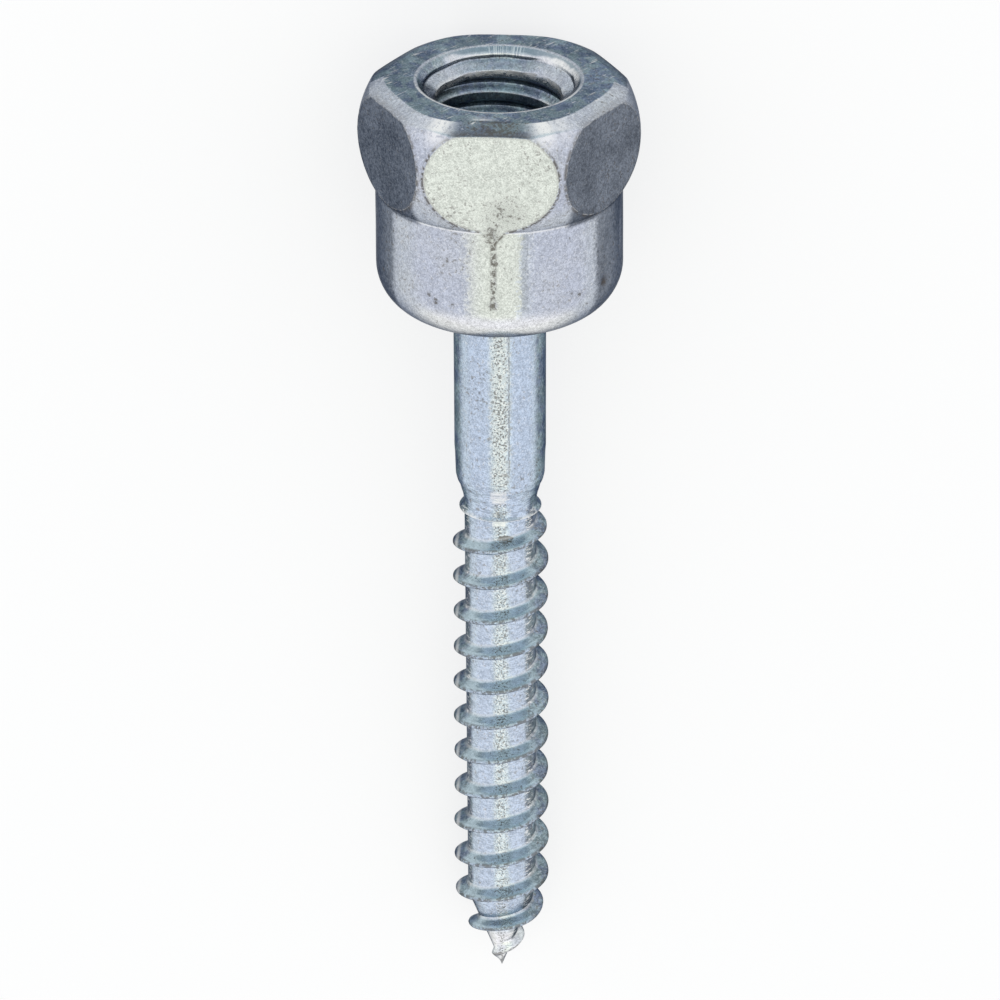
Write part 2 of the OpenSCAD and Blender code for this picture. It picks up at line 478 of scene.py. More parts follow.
# one for each flat, counted from the first corner, and for the sloping border above it: how much
# painted dark reflection it has
FLAT_PAINTED_DARK = np.array((0.7, 0.7, 0.7, 1.0, 0.0, 1.0))
BORDER_PAINTED_DARK = np.array((0.9, 0.9, 0.9, 0.15, 0.95, 0.15))
STAINS = (  # old pits that hold grime: degrees from the front flat's middle, depth and radius
    (0.3, 12.3, 0.34),
    (2.2, 9.3, 0.2),
    (61.6, 12.2, 0.45),
    (43.9, 12.3, 0.22),
    (39.2, 12.0, 0.2),
    (35.9, 11.5, 0.12),
    (-31.2, 12.0, 0.2),
    (-27.4, 12.4, 0.26),
    (-18.6, 12.4, 0.2),
    (-21.0, 9.4, 0.17),
    (-65.9, 12.0, 0.2),
    (38.0, 8.2, 0.12),
)
SMEAR = (6.0, 5.9, 1.5)  # degrees, depth and size of the brown smear low on the front flat
FRONT = (FRONT_FLAT + 0.5) * SECTOR  # turn of the front flat's middle


def even_columns(count):
    """Evenly spaced turns."""
    return np.arange(count) * FULL_TURN / count


def from_front(turn):
    """Angle from the middle of the front flat."""
    return np.angle(np.exp(1j * (turn - FRONT)))


def border_marks(form, turn):
    """How much painted dark reflection the sloping border has, and its painted highlights beside
    the front flat's dark middle.
    """
    flat = form.which_flat(turn)
    off = np.abs(form.off_flat(turn))
    middle = fade(off, math.radians(14), math.radians(25))
    dull = BORDER_PAINTED_DARK[flat] * np.where(flat < 3, 1, middle)
    # painted highlights at the border's corners beside the front flat
    rub = 1.2 * turn_bump(np.abs(from_front(turn)), 25, 5)
    rub = np.maximum(rub, 0.5 * turn_bump(from_front(turn), 33, 5))
    return dull, rub


def head_wear(form, depth, turn):
    """How far the forged head's side is worn or dented inwards, and how stained it is there."""
    around = from_front(turn) * form.skirt
    wander = 0.14 + 0.06 * np.sin(depth * 2.3) + 0.03 * np.sin(depth * 5.1)
    line = bump(around, wander, 0.17) * ease(depth, 7.0, 7.5) * fade(depth, 12.3, 12.6)
    line = line * (0.62 + 0.25 * np.sin(depth * 3.7) + 0.13 * np.sin(depth * 9.1))
    wear = 0.05 * line
    stain = 0.7 * line
    for where, deep, size in STAINS:
        across = np.angle(np.exp(1j * (turn - FRONT - math.radians(where)))) * form.skirt
        pit = np.exp(-(across**2 + (depth - deep) ** 2) / size**2)
        wear = wear + 0.2 * size * pit
        stain = np.maximum(stain, pit)
    where, deep, size = SMEAR
    across = around - math.radians(where) * form.skirt
    smear = np.exp(-(across**2 + 1.3 * (depth - deep) ** 2) / size**2)
    throat = bump(around, 0.1, 0.7) * bump(depth, 7.3, 0.9)
    stain = np.maximum(stain, 0.6 * np.maximum(smear, 1.3 * throat))
    brow = 0.8 * bump(around, 0.2, 2.4) * bump(depth, 0.3, 0.28)
    stain = np.maximum(stain, brow)
    ripple = np.sin(3 * turn + 0.9 * depth) + np.sin(7 * turn - 1.7 * depth + 2)
    return wear + 0.004 * (ripple + 2), stain


def head_marks(form, depth, turn):
    """Marks of the head's side: its flats and its border with their painted dark reflections and
    highlights, and the painted highlight along its shoulder.
    """
    off = form.off_flat(turn)
    shoulder = form.sizes.shoulder
    across = np.clip(depth - form.sizes.corner_peak, -form.arc * 0.99, form.arc * 0.99)
    slope = np.hypot(across / np.sqrt(form.arc**2 - across**2), np.tan(off))
    edge = (form.barrel(depth) - form.flat / np.cos(off)) / np.maximum(slope, 0.12)
    edge = np.minimum(edge, depth - form.border_end(turn))
    edge = np.where(depth > shoulder + 0.1, NO_FLAT, edge)
    # the front flat runs out in a small throat that cuts into the skirt
    throat = 0.8 * fade(depth, shoulder - 0.3, shoulder + 0.9)
    throat = throat - np.abs(from_front(turn) * form.skirt - 0.12)
    edge = np.where(depth > shoulder - 0.3, np.maximum(edge, throat), edge)
    on_flat = ease(edge, -0.03, 0.03)
    border = fade(depth, form.border_end(turn) - 0.03, form.border_end(turn) + 0.03)
    border_dull, rub = border_marks(form, turn)
    dull = on_flat * FLAT_PAINTED_DARK[form.which_flat(turn)] + border * border_dull
    # the side flats' painted dark reflection runs down to the shoulder, and the painted highlight
    # along the shoulder fades there
    aside = np.abs(from_front(turn))
    below = ease(depth, 5.2, 6.0) * fade(depth, shoulder + 0.1, shoulder + 0.3)
    below = below * ease(aside, math.radians(34.5), math.radians(38.5))
    dull = np.maximum(dull, below * fade(aside, math.radians(100), math.radians(110)))
    corner = fade(depth, 0.5, 1.8)
    # the painted highlight along the shoulder, except in the throat
    line = bump(depth, shoulder + 0.03, 0.055) * fade(throat, -0.2, 0) * (1 - below)
    return {"dull": np.clip(dull, 0, 1), "edge": edge, "rub": np.maximum(rub * corner, line)}


def between(start, end, steps):
    """Levels after start, in even steps up to the end."""
    return [start + (end - start) * k / steps for k in range(1, steps + 1)]


def side_levels(form, turn):
    """Depths of the rings down the head's side, close together at each edge."""
    sizes = form.sizes
    border_end = form.border_end(turn)
    peak, shoulder = sizes.corner_peak, sizes.shoulder
    reach = form.flat_end(form.off_flat(turn))
    upper, lower = peak - reach, peak + reach
    near = (-0.08, -0.04, -0.015, 0.015, 0.04, 0.08)
    levels = between(0.25 * math.tan(sizes.border_slope), border_end - 0.1, 4)
    levels += [border_end + step for step in (-0.1, -0.06, -0.03, 0, 0.03, 0.06, 0.1)]
    levels += between(border_end + 0.1, upper - 0.08, 5)[:-1]
    levels += [upper + step for step in near]
    levels += between(upper + 0.08, lower - 0.08, 16)[:-1]
    levels += [lower + step for step in near]
    levels += between(lower + 0.08, shoulder - 0.1, 6)[:-1]
    levels += [shoulder + step for step in (-0.1, -0.05, -0.02, 0.02, 0.06, 0.12)]
    levels += between(shoulder + 0.12, shoulder + 1.2, 9)
    return levels + between(shoulder + 1.2, form.edge_from, 18)


# distances out from the top face's rim
RIM_RINGS = (-0.62, -0.54, -0.46, -0.38, -0.25, -0.12, -0.06, -0.02, 0.02, 0.06, 0.12, 0.25)


def add_head(skin, form):
    """The head from its top face's rim to its underside. Returns its first and last rings."""
    sizes = form.sizes
    turn = form.columns()
    off = form.off_flat(turn)
    rim = form.top_outline(0, off)
    slope = math.tan(sizes.border_slope)
    rings = []
    for out in RIM_RINGS:
        depth = soft_max(np.zeros_like(turn), out * slope, 0.03)
        past_rim = ease(out, -0.02, 0.06)
        # the top face inside the rim has the full painted dark reflection, and the border's painted
        # highlights begin past the rim
        dull, rub = border_marks(form, turn)
        dull = 1 - past_rim * (1 - dull)
        # a bright spot on the top face just inside the rim, at the front
        bright_spot = turn_bump(from_front(turn), -6, 6) * bump(out, -0.5, 0.12)
        rub = np.maximum(rub * past_rim, bright_spot)
        # the rim is speckled over the front flat
        stain = 0.7 * bump(from_front(turn) * form.top_flat, 0.2, 2.4) * ease(out, -0.5, -0.3)
        marks = {"dull": dull, "rub": rub, "stain": stain}
        rings.append(skin.ring(turn, rim + out - CLEAR, depth + CLEAR, **marks))

    deepest = np.full_like(turn, 0.25 * slope)
    for level in side_levels(form, turn):
        deepest = np.maximum(deepest, level)
        wear, stain = head_wear(form, deepest, turn)
        radius = form.outside(deepest, turn) - CLEAR - wear
        marks = head_marks(form, deepest, turn)
        rings.append(skin.ring(turn, radius, deepest, stain=stain, **marks))
    for lean in np.linspace(0, math.pi / 2, 16)[1:]:
        depth = form.edge_from + sizes.skirt_edge * math.sin(lean)
        wear, stain = head_wear(form, np.full_like(turn, depth), turn)
        radius = form.skirt - sizes.skirt_edge * (1 - math.cos(lean)) - CLEAR
        radius = radius - wear * math.cos(lean)
        rings.append(skin.ring(turn, radius, depth, stain=stain))
    skin.chain(rings)
    return turn, rings[0], rings[-1]


SOCKET_SHIFT = 1.0  # moves the whole rod thread down
GROOVE_WEAR = 0.37  # how much shallower the groove is below its first turn
GROOVE_HALF = (  # shares of the pitch from the groove's middle, and of its depth
    (0.05, 1.0),
    (0.09, 0.93),
    (0.17, 0.64),
    (0.26, 0.3),
    (0.33, 0.04),
    (0.355, 0.0),
    (0.41, 0.0),
)
ROD_GROOVE = tuple((-share, up) for share, up in GROOVE_HALF[::-1]) + GROOVE_HALF


def groove_marks(turn, raw, share, up, cut):
    """Marks of the rod thread at a place in its groove. The cut is 0 in the countersink."""
    # the first flank has painted highlights at its ends, and the first crest is torn and speckled
    first = cut * fade(raw, 1.7, 1.9)
    ends = ease(np.abs(np.cos(turn)), 0.3, 0.75)
    second = cut * ease(raw, 1.7, 1.9) * fade(raw, 2.9, 3.2)
    edge = cut * bump(share, 0.345, 0.02)
    torn = first * bump(share, 0.41, 0.03)
    land = first * (up < 0.01)
    # painted shade and dark reflection inside the socket, darker further down and lighter on the
    # first land
    dull = 0.38 * cut + first * (0.24 - 0.5 * np.maximum(ends, land)) + 0.08
    dull = dull + 0.55 * ease(raw, 1.9, 2.2)
    # the second edge has a painted highlight at its right end, and its groove is darker at the
    # bottom
    glint = turn_bump(turn, 42, 13) * bump(raw, 2.95, 0.4)
    rub = np.maximum(edge * (0.45 + 0.45 * first), 0.6 * land)
    rub = np.maximum(rub, glint * bump(share, 0.36, 0.06) * cut)
    stain = np.maximum(0.9 * torn, 0.36 * land)
    stain = np.maximum(stain, 0.6 * second * bump(share, -0.18, 0.13))
    return {"dull": dull, "rub": rub, "stain": stain}


def add_socket(skin, sizes):
    """The tapped socket, from its drilled bottom up to the top face. Returns its last ring."""
    turn = even_columns(SHANK_COLUMNS)
    bore, mouth = sizes.bore / 2, sizes.mouth / 2
    bottom = sizes.depth + bore / math.tan(sizes.point / 2)
    from_depth, to_depth = 0.1, sizes.thread_end + 0.05
    # the drilled bottom below the thread carries painted shade
    rings = [
        skin.ring(turn, radius, depth, dull=0.5)
        for radius, depth in (
            (0, bottom),
            (bore * 0.5, (bottom + sizes.depth) / 2),
            (bore - 0.1, sizes.depth + 0.06),
            (bore, sizes.depth - 0.1),
            (bore, to_depth),
        )
    ]
    skin.chain(rings)
    rows = []
    turns = math.ceil((to_depth - from_depth) / sizes.pitch) + 3
    for row in range(turns * len(ROD_GROOVE)):
        number, place = divmod(row, len(ROD_GROOVE))
        share, up = ROD_GROOVE[place]
        raw = sizes.pitch * (number - 1 + share - turn / FULL_TURN) + SOCKET_SHIFT
        # the first turn lies almost level, and its edge is a little ragged
        level = 0.38 * np.cos(turn) - 0.05 * np.sin(5 * turn + 1) - 0.03 * np.sin(11 * turn)
        raw = raw - level * fade(raw, 1.2, 2.3)
        depth = np.clip(raw, from_depth, to_depth)
        # below the first turn the groove is worn shallower, and it fades out at its end
        runout = fade(raw, sizes.thread_end - 1.2, sizes.thread_end)
        groove = bore + sizes.groove * up * runout * (1 - GROOVE_WEAR * ease(raw, 1.5, 1.9))
        radius = np.maximum(groove, mouth - depth)
        cut = fade(mouth - depth - groove, 0, 0.1)  # 0 in the countersink
        marks = groove_marks(turn, raw, share, up, cut)
        rows.append(skin.ring(turn, radius, depth, **marks))
    rows.reverse()
    skin.helix(rows, -len(ROD_GROOVE))
    skin.join(rings[-1], rows[0])
    # a painted highlight along the mouth's lip on its front half; beyond the lip the top face has
    # the painted dark reflection
    front = ease(np.cos(from_front(turn)), 0.0, 0.5)
    lip = [
        skin.ring(turn, mouth - 0.1 + out, depth + CLEAR, dull=dull, rub=rub * front)
        for out, depth, dull, rub in (
            (0.035, 0.062, 0.1, 1.0),
            (0.08, 0.026, 0.1, 1.0),
            (0.14, 0.006, 0.1, 1.0),
            (0.24, 0.001, 0.1, 1.0),
            (0.31, 0.0, 0.95, 0.0),
            (0.6, 0.0, 1.0, 0.0),
        )
    ]
    skin.chain([rows[-1]] + lip)
    return turn, lip[-1]


NECK = (  # depth below the start of the taper, and share of the way from the neck to the shank
    (-1.9, 1.0),
    (-1.3, 0.93),
    (0.1, 0.86),
    (0.5, 0.7),
    (0.8, 0.44),
    (1.2, 0.27),
    (1.5, 0.1),
    (1.9, 0.0),
    (2.25, 0.0),
    (2.38, 0.16),
    (2.5, 0.46),
)
NECK_STEP = 0.595  # how much smaller the neck's radius is than the shank's
# the lip's rounded underside: distance out from its edge, and depth below the start of the taper
LIP_RIM = ((0.0, 2.52), (-0.02, 2.54), (-0.08, 2.56), (-0.2, 2.575))
CREST_INSET = 0.03  # how far the crests' ripples keep them inside their full radius
THREAD_RIDGE = (  # distance from the crest along the axis, and share of the ridge's height
    (-0.68, 0.0),
    (-0.56, 0.03),
    (-0.43, 0.24),
    (-0.28, 0.61),
    (-0.16, 0.9),
    (-0.08, 0.985),
    (0.0, 1.0),
    (0.07, 0.985),
    (0.14, 0.88),
    (0.22, 0.6),
    (0.32, 0.25),
    (0.42, 0.05),
    (0.56, 0.0),
)


def add_shank(skin, sizes, form):
    """The fillet under the head, the plain shank and its neck. Returns its first and last rings."""
    turn = even_columns(SHANK_COLUMNS)
    shank = sizes.width / 2
    top = form.sizes.height
    taper = top + sizes.span
    neck = shank - NECK_STEP
    rings = []
    for lean in np.linspace(0, math.pi / 2, 6):
        radius = shank + sizes.fillet * (1 - math.sin(lean))
        rings.append(skin.ring(turn, radius, top + sizes.fillet * (1 - math.cos(lean))))
    last = taper + NECK[-1][0]
    plain = np.arange(top + 0.9, taper - 2, 0.6)
    depths = np.concatenate((plain, np.arange(taper - 2, last + 0.01, 0.09)))
    below, share = np.array(NECK).T
    fine = np.linspace(-4, NECK[-1][0], 400)
    curve = np.convolve(np.pad(np.interp(fine, below, share), 4, "edge"), np.ones(9) / 9, "valid")
    for depth in depths:
        radius = neck + (shank - neck) * np.interp(depth - taper, fine, curve)
        hollow = 0.01 * (1 + np.sin(2 * turn + depth * 0.3)) * ease(depth, 16, 18)
        # a painted highlight along the lip's edge, on the front
        lip_highlight = ease(depth - taper, 2.38, 2.46) * ease(np.cos(from_front(turn)), 0.3, 0.8)
        rings.append(skin.ring(turn, radius - hollow - CLEAR, depth, rub=lip_highlight))
    lip = neck + (shank - neck) * NECK[-1][1]
    # the lip's rounded underside carries a painted highlight
    for out, below_taper in LIP_RIM:
        rings.append(skin.ring(turn, lip + out, taper + below_taper, rub=0.8))
    skin.chain(rings)
    return turn, rings[0], rings[-1]


def add_thread(skin, sizes, shank_end):
    """The core, the coarse thread and the point as one helical surface."""
    turn = even_columns(SHANK_COLUMNS)
    # this ring keeps the lip's shading off the core, and the core is darkened along it
    crease = skin.ring(turn, sizes.core / 2, shank_end + 0.05, stain=1.0)
    top = shank_end + 0.1
    tip = shank_end + sizes.span
    cone = tip - sizes.point
    core_low = (sizes.core - sizes.core_taper) / 2
    start = shank_end + sizes.start_gap
    tip = tip - CLEAR
    rows = []
    turns = math.ceil((tip - start) / sizes.pitch) + 4
    for row in range(turns * len(THREAD_RIDGE)):
        number, place = divmod(row, len(THREAD_RIDGE))
        along, up = THREAD_RIDGE[place]
        crest = start + sizes.pitch * (number - 2 + (sizes.start - turn) / FULL_TURN)
        raw = crest + along
        depth = np.clip(raw, top, tip)
        core = np.where(
            depth > cone,
            core_low * (tip - depth) / sizes.point,
            core_low + sizes.core_taper / 2 * (cone - depth) / (cone - top),
        )
        reach = np.clip((tip - depth) / sizes.crest_point, 0, 1)
        height = (sizes.width / 2 - CREST_INSET) * np.sin(math.pi / 2 * reach) - core
        height = height - 0.02 * (1 + np.sin(5 * turn + 3.1 * crest))
        rise = ease(crest, start, start + sizes.start_rise) * ease(raw, top, top + 0.12)
        ridge = up * rise
        radius = np.maximum(core + ridge * np.maximum(height, 0), 0)
        # painted grey-green reflection on the upper flanks; painted highlights along the flank's
        # top and below the crest
        flank = rise * (ease(along, -0.62, -0.5) - ease(along, -0.12, 0.0))
        rub = 0.7 * rise * max(bump(along, -0.6, 0.06), 0.8 * bump(along, 0.36, 0.15))
        rows.append(skin.ring(turn, radius, depth, dull=flank, ridge=ridge, rub=rub))
    skin.helix(rows, len(THREAD_RIDGE))
    skin.join(crease, rows[0])
    return crease


def anchor_mesh(settings, placed):
    """The whole anchor as one closed skin."""
    head, socket = in_millimetres(settings.head), in_millimetres(settings.socket)
    shank, thread = in_millimetres(settings.shank), in_millimetres(settings.thread)
    skin = Skin()
    form = HeadForm(head)
    socket_turn, mouth = add_socket(skin, socket)
    head_turn, rim, underside = add_head(skin, form)
    skin.bridge(mouth, socket_turn, rim, head_turn)
    shank_turn, fillet, neck_end = add_shank(skin, shank, form)
    skin.bridge(underside, head_turn, fillet, shank_turn)
    shank_end = head.height + shank.span + shank.taper + shank.neck
    thread_top = add_thread(skin, thread, shank_end)
    skin.join(neck_end, thread_top)
    return skin.mesh("threaded_rod_anchor", placed)


def laid_down():
    """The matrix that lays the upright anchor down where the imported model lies."""
    axis = Vector(MOUNTS["rod_socket"]["axis"]).normalized()
    inside = Vector(MOUNTS["rod_socket"]["pos_m"])
    on_face = Vector(MOUNTS["top_face"]["pos_m"])
    origin = inside + axis * (on_face - inside).dot(axis)
    across = (on_face - origin).normalized()
    matrix = Matrix((across, axis.cross(across), axis)).transposed().to_4x4()
    matrix.translation = origin
    return matrix


# ---------------------------------------------------------------- finish


BURR_PLACE = (0.45, -2.4, -31.35)  # a dark scab where the thread starts, upright in millimetres
POINT_HIGHLIGHT = (0.98, 0.98, 0.96)  # the point's painted highlight
FILM_TONE = (0.2, 0.28, 0.42)  # the bluer film in patches on the machined faces
GRAZING_TINT = (0.2, 0.22, 0.27)  # keeps the plating dark where it is seen edge on
BUMP_HEIGHT = 0.011  # millimetres
HEAD_END = (15.4, 15.6)  # depths between which the head's tones give way to the shank's
POINT_ZONE = (60.2, 61.2)  # depths between which the thread's tones give way to the point's
FLECKS = (0.34, 0.66)  # the texture's range, from its dark flecks to its pale ones


class Value:
    """A node's output. Each sum, product or step of it adds the node that works it out."""

    def __init__(self, wiring, socket):
        self.wiring, self.socket = wiring, socket

    def math(self, operation, other=0.0, clamp=False):
        """Arithmetic with another value or a number."""
        inputs = {0: self, 1: other}
        return self.wiring.node("ShaderNodeMath", inputs, operation=operation, use_clamp=clamp)

    def __add__(self, other):
        return self.math("ADD", other)

    def __sub__(self, other):
        return self.math("SUBTRACT", other)

    def __mul__(self, other):
        return self.math("MULTIPLY", other)

    def __truediv__(self, other):
        return self.math("DIVIDE", other)

    def __abs__(self):
        return self.math("ABSOLUTE")

    def about_zero(self, by):
        """A noise moved to swing about 0, made stronger or weaker."""
        return (self - 0.5) * by

    def span(self, low, high, to_low=0.0, to_high=1.0):
        """A smooth step from low to high."""
        inputs = {"Value": self, 1: low, 2: high, 3: to_low, 4: to_high}
        return self.wiring.node("ShaderNodeMapRange", inputs, interpolation_type="SMOOTHSTEP")

    def fall(self, low, high):
        """1 at low and 0 at high, with a smooth step between them."""
        return self.span(low, high, 1.0, 0.0)

    def between(self, low, high, soft, soft_high=None):
        """1 between two values, with soft ends."""
        soft_high = soft if soft_high is None else soft_high
        rising = self.span(low - soft, low + soft)
        return rising * self.fall(high - soft_high, high + soft_high)


def largest(*values):
    """The largest of several values."""
    return reduce(lambda a, b: a.math("MAXIMUM", b), values)


class Wiring:
    """Adds nodes to a material or world and links them."""

    def __init__(self, block):
        block.use_nodes = True
        self.tree = block.node_tree
        self.tree.nodes.clear()

    def node(self, kind, inputs=(), output=0, **settings):
        """Adds a node. Inputs are numbers, colours or other nodes' values, by name or number."""
        node = self.tree.nodes.new(kind)
        for name, value in settings.items():
            setattr(node, name, value)
        for name, value in dict(inputs).items():
            socket = node.inputs[name]
            if isinstance(value, Value):
                self.tree.links.new(value.socket, socket)
            elif socket.type == "RGBA":
                socket.default_value = (*value, 1)
            else:
                socket.default_value = value
        return node if output is None else Value(self, node.outputs[output])

    def vector(self, operation, a, b=(0, 0, 0), output=0):
        """Vector arithmetic. The output is 1 where the result is a number."""
        return self.node("ShaderNodeVectorMath", {0: a, 1: b}, output, operation=operation)

    def scaled(self, vector, by):
        """A vector stretched along each axis."""
        return self.vector("MULTIPLY", vector, by)

    def lit(self, colour, by):
        """A colour made lighter or darker."""
        return self.node("ShaderNodeVectorMath", {0: colour, "Scale": by}, operation="SCALE")

    def noise(self, place, size, detail=2.0, rough=0.55, twist=0.0, shift=None):
        """Noise about 0.5, with features of a size in millimetres."""
        inputs = {
            "Vector": place if shift is None else self.vector("ADD", place, shift),
            "Scale": 1 / size,
            "Detail": detail,
            "Roughness": rough,
            "Distortion": twist,
        }
        return self.node("ShaderNodeTexNoise", inputs)

    def blend(self, share, a, b):
        """Mixes two colours. The mix node's colour sockets are numbers 6 and 7, and 2."""
        inputs = {0: share, 6: a, 7: b}
        return self.node("ShaderNodeMix", inputs, 2, data_type="RGBA", clamp_factor=True)

    def mark(self, name):
        """A number kept on the mesh's vertices."""
        return self.node("ShaderNodeAttribute", output=2, attribute_name=name)


class Surface:
    """Where a point of the anchor's surface lies, what is marked there, and the noises over it."""

    def __init__(self, w):
        place = w.node("ShaderNodeAttribute", output=1, attribute_name="upright")
        across, along, up = (w.node("ShaderNodeSeparateXYZ", {0: place}, k) for k in range(3))
        self.place, self.across = place, across
        self.level = w.scaled(place, (1, 1, 0))
        self.reach = w.vector("LENGTH", self.level, output=1)
        self.grain = w.noise(place, 0.11, 2.0, 0.65)
        self.fleck = w.noise(place, 0.3, 3.0, 0.65, 0.4, (7, 3, 5))
        self.cloud = w.noise(place, 2.6, 2.0, 0.5, 0.3, (2, 9, 4))
        self.spots = w.noise(place, 0.22, 1.5, 0.5, 0.2, (5, 1, 8))
        self.edge, self.ridge = w.mark("edge"), w.mark("ridge")

        # both run from -1 to 1: towards the front flat, and to its right
        rough = self.fleck.about_zero(0.06)
        self.front = rough - along / self.reach
        self.side = rough + across / self.reach
        self.facing = self.front.span(0.0, 0.1)

        self.depth = up * -1.0
        self.on_shank = self.depth.span(15.6, 16.2) * self.depth.fall(26.0, 27.2)
        self.on_thread = self.depth.span(29.4, 30.0)

        # fine lines that run around the axis: turning marks, and the flow of the rolled thread
        self.rings = w.noise(w.scaled(place, (0.2, 0.2, 1.0)), 0.1, 2.0, 0.65)
        self.turned = self.depth.span(26.8, 28.2) * self.depth.span(29.6, 30.6, 1.0, 0.6)

        lines = (self.rings - 0.5) * (self.turned * 0.9)
        self.shade = self.grain * 0.55 + self.fleck * 0.45 + lines
        self.pale = (self.grain * 0.5 + self.spots * 0.5).span(0.54, 0.64)


def plating_and_sheen_tone(w, at, finish):
    """Colour of the plating where no painted dark reflection lies: paler in some zones of the
    anchor than in others, where a sheen and highlights are painted on.
    """
    on_head = at.depth.fall(14.5, 16.0)
    on_skirt = at.depth.span(7.1, 7.3) * at.depth.fall(13.0, 14.2)

    # the painted sheen: the lamp's reflection painted all over the front flat and in a strip down
    # the skirt's middle, with random patches of its tone over the head
    loose = at.side + at.fleck.about_zero(0.22)
    strip = loose.between(-0.2, 0.23, 0.05, 0.02) * on_skirt
    front_flat = at.edge.span(-0.02, 0.05) * at.front.span(0.84, 0.88)
    sheen = largest(strip, front_flat) * at.facing
    sheen = sheen.math("ADD", at.cloud.span(0.4, 0.7, 0.0, 0.3), clamp=True)
    sheen = sheen * (on_head * 0.8 + 0.2)
    plate = w.blend(on_head, finish.shank_plate, finish.plate)
    unshaded = w.blend(sheen, plate, finish.painted_sheen)

    # painted highlights on the skirt's lower rim, where it faces the front, and on the point
    rim = at.depth.span(12.7, 13.7) * on_head * at.front.span(0.66, 0.92)
    unshaded = w.blend(rim, unshaded, finish.bright_wear_and_highlight)
    return w.blend(at.depth.span(*POINT_ZONE), unshaded, POINT_HIGHLIGHT)


def unshaded_plate(w, at, finish):
    """Plating outside the painted dark reflections, flecked pale and dark, with the painted
    grey-green reflection on the thread's flanks.
    """
    unshaded = w.lit(plating_and_sheen_tone(w, at, finish), at.shade.span(*FLECKS, 0.72, 1.22))
    unshaded = w.blend(at.pale * 0.4, unshaded, finish.bright_wear_and_highlight)
    flank = w.mark("dull") * (at.on_thread * 0.85) * at.depth.span(*POINT_ZONE, 1.0, 0.35)
    flank_reflection = w.lit(finish.flank, at.shade.span(*FLECKS, 0.86, 1.12))
    return w.blend(flank, unshaded, flank_reflection)


def dull_plate(w, at, finish):
    """Painted dark reflection: slate on the forged faces and teal on the machined ones."""
    teal_reflection = largest(at.depth.fall(0.25, 0.5), at.reach.span(7.0, 5.6))
    film = w.noise(at.place, 1.1, 2.0, 0.6, 0.6).span(0.4, 0.62)
    teal = w.blend(film, finish.teal_reflection, w.blend(0.4, finish.dull, FILM_TONE))
    slate = w.blend(teal_reflection, finish.dull, teal)
    slate = w.lit(slate, at.shade.span(*FLECKS, 0.62, 1.4))
    slate = w.lit(slate, at.cloud.span(0.35, 0.65, 0.84, 1.16))
    return w.blend(at.pale * teal_reflection.span(0.0, 1.0, 0.08, 0.3), slate, finish.bright_wear_and_highlight)


def dullness_map(w, at):
    """How much painted dark reflection there is: as marked on the mesh, and all around the side and
    back.
    """
    below_hexagon = at.depth.span(7.15, 7.35)
    # painted dark reflections down the skirt's and the shank's sides
    skirt_side = at.front.span(0.62, 0.54) * at.depth.fall(*HEAD_END)
    shank_side = at.front.span(0.68, 0.48, 0.0, 1.12) * at.depth.span(*HEAD_END)
    sides = (skirt_side + shank_side) * below_hexagon
    # glint: a thin painted highlight down the skirt's sides
    glint = at.front.between(0.14, 0.19, 0.015) * at.depth.between(8.3, 11.2, 0.8)
    sides = sides * glint.span(0.0, 1.0, 0.88, 0.4) * at.depth.span(59.5, 61.0, 1.0, 0.3)
    # band: a painted dark reflection band beside the skirt's painted sheen strip
    band = at.side.between(0.24, 0.29, 0.01) * (below_hexagon * at.depth.fall(12.4, 13.2))
    band = band * at.front.span(0.0, 0.1, 0.0, 0.28)
    return largest(sides, band, w.mark("dull") * at.depth.fall(28.0, 29.0))


def add_core_side_reflections(w, at, finish, tone, slate):
    """Painted dark reflections, streaked bright, where the core meets the ridges at its right and
    left.
    """
    patch = largest(at.side.between(0.74, 0.93, 0.05), at.side.between(-0.96, -0.84, 0.04))
    core_side_dark = patch * (at.on_thread * at.ridge.fall(0.05, 0.2)) * at.facing
    tone = w.blend(core_side_dark * at.fleck.span(0.42, 0.52, 0.2, 1.0), tone, w.lit(slate, 0.55))
    return w.blend(core_side_dark * at.rings.span(0.56, 0.6, 0.0, 0.9), tone, finish.bright_wear_and_highlight)


def add_highlight_strip(w, at, finish, tone):
    """A painted highlight: the lamp's reflection as a speckled strip down the shank and the
    thread's core. Also returns how pitted it is.
    """
    loose = at.side + at.fleck.about_zero(0.3)
    strip = loose.between(-0.12, 0.25, 0.09) * at.facing * at.depth.span(15.5, 15.7)
    strip_sheen = strip * at.ridge.span(0.0, 0.1, 0.5, 0.0) * at.depth.span(26.5, 28.5, 1.0, 0.3)
    tone = w.blend(strip_sheen, tone, finish.painted_sheen)
    highlight_specks = strip * at.grain.span(0.51, 0.57, 0.0, 0.6)
    tone = w.blend(highlight_specks * at.ridge.fall(0.0, 0.1), tone, finish.bright_wear_and_highlight)

    # two brighter painted highlights in it, on the neck and on the core below the first crest
    patches = largest(at.depth.between(27.8, 28.8, 0.12), at.depth.between(30.15, 30.5, 0.08))
    glow = loose.between(-0.15, 0.18, 0.04) * patches * at.rings.span(0.4, 0.6, 0.5, 0.95)
    tone = w.blend(glow * at.facing, tone, finish.bright_wear_and_highlight)
    pits = w.noise(at.place, 0.12, 1.5, 0.6, 0.0, (3, 6, 1))
    pitted = strip * pits.span(0.52, 0.62, 0.0, 0.7)
    return tone, pitted * patches.span(0.0, 1.0, 1.0, 0.2)


